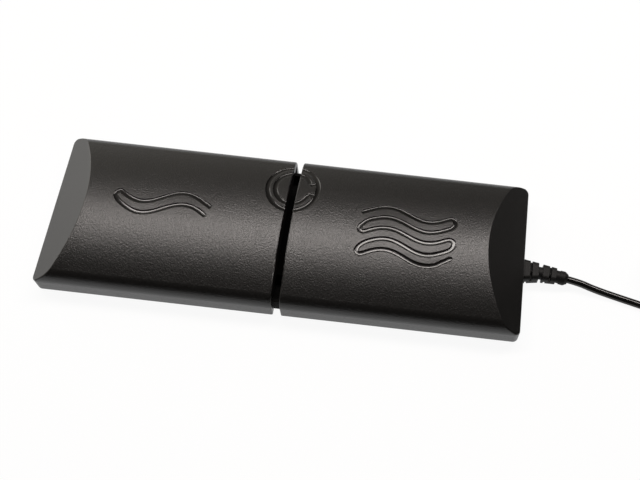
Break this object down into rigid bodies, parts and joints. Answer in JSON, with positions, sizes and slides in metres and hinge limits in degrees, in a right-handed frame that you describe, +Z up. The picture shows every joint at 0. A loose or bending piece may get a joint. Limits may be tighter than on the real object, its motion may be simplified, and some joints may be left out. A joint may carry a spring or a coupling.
{
  "type": "foot pedal switch",
  "caption": "Low foot switch bar with two arched pedals hinged at their outer ends over a tray with microswitches, with a strain-relieved cord and plug.",
  "frame": {"origin": "on the floor under the middle of the bar", "axes": "+X along the bar towards the cord, +Y to the back, away from the user, +Z up"},
  "size_m": [0.4926, 0.096, 0.0305],
  "materials": {
    "pedal_plastic": "fine-grained moulded plastic, black, satin",
    "tray_plastic": "moulded plastic, black",
    "rubber": "soft black rubber",
    "steel": "ground steel pins",
    "spring_steel": "drawn spring wire",
    "switch_case": "glass-filled plastic, black",
    "switch_plunger": "red plastic",
    "tinned_brass": "tinned solder pins",
    "board": "green solder mask",
    "chip": "moulded chip package",
    "components": "ceramic and metal-cased components",
    "screw_steel": "zinc-plated screws",
    "header": "natural nylon",
    "wire": "coloured insulation",
    "cord": "smooth black jacket",
    "relief": "soft moulded black plastic",
    "tie": "black hook-and-loop band",
    "grip": "soft-touch black plastic",
    "shell": "nickel-plated sheet",
    "tongue": "white insulator",
    "gold": "gold-plated contacts"
  },
  "bodies": {
    "base": {"base_tray": "tray_plastic", "rubber_feet": "rubber", "bump_stops": "rubber", "left_hinge_pins": "steel", "right_hinge_pins": "steel", "left_return_springs": "spring_steel", "right_return_springs": "spring_steel", "left_switch_body": "switch_case", "right_switch_body": "switch_case", "switch_terminals": "tinned_brass", "circuit_board": "board", "controller_chip": "chip", "board_components": "components", "board_cover": "tray_plastic", "board_screws": "screw_steel", "cable_header": "header", "cable_wires": "wire", "cable_inside": "cord", "cable_clamp": "tray_plastic", "clamp_screws": "screw_steel", "strain_relief": "relief", "cord_lead": "cord", "cord_coil": "cord", "cord_tail": "cord", "cable_tie": "tie", "plug_grip": "grip", "plug_shell": "shell", "plug_tongue": "tongue", "plug_contacts": "gold"},
    "left_pedal": {"left_pedal": "pedal_plastic"},
    "right_pedal": {"right_pedal": "pedal_plastic"},
    "left_lever": {"left_switch_lever": "spring_steel"},
    "right_lever": {"right_switch_lever": "spring_steel"},
    "left_plunger": {"left_switch_plunger": "switch_plunger"},
    "right_plunger": {"right_switch_plunger": "switch_plunger"}
  },
  "joints": [
    {"name": "left_pedal_hinge", "type": "hinge", "parent": "base", "child": "left_pedal", "pos_m": [-0.126, 0, 0.009], "axis": [0, 1, 0], "range_deg": [0, 1.6], "stiffness_Nm_per_rad": 20, "springref_deg": -1.72, "deforming": ["left_return_springs"]},
    {"name": "right_pedal_hinge", "type": "hinge", "parent": "base", "child": "right_pedal", "pos_m": [0.126, 0, 0.009], "axis": [0, -1, 0], "range_deg": [0, 1.6], "stiffness_Nm_per_rad": 20, "springref_deg": -1.72, "deforming": ["right_return_springs"]},
    {"name": "left_lever_pivot", "type": "hinge", "parent": "base", "child": "left_lever", "pos_m": [-0.012, 0, 0.019], "axis": [0, -1, 0], "range_deg": [0, 9.8]},
    {"name": "left_plunger_slide", "type": "slide", "parent": "base", "child": "left_plunger", "axis": [0, 0, -1], "range_m": [0, 0.00086]},
    {"name": "right_lever_pivot", "type": "hinge", "parent": "base", "child": "right_lever", "pos_m": [0.012, 0, 0.019], "axis": [0, 1, 0], "range_deg": [0, 9.8]},
    {"name": "right_plunger_slide", "type": "slide", "parent": "base", "child": "right_plunger", "axis": [0, 0, -1], "range_m": [0, 0.00086]}
  ],
  "couplings": [
    {"joint": "left_lever_pivot", "follows": "left_pedal_hinge", "ratio": 6.1189},
    {"joint": "left_plunger_slide", "follows": "left_pedal_hinge", "m_per_rad": 0.030766},
    {"joint": "right_lever_pivot", "follows": "right_pedal_hinge", "ratio": 6.1189},
    {"joint": "right_plunger_slide", "follows": "right_pedal_hinge", "m_per_rad": 0.030766}
  ]
}
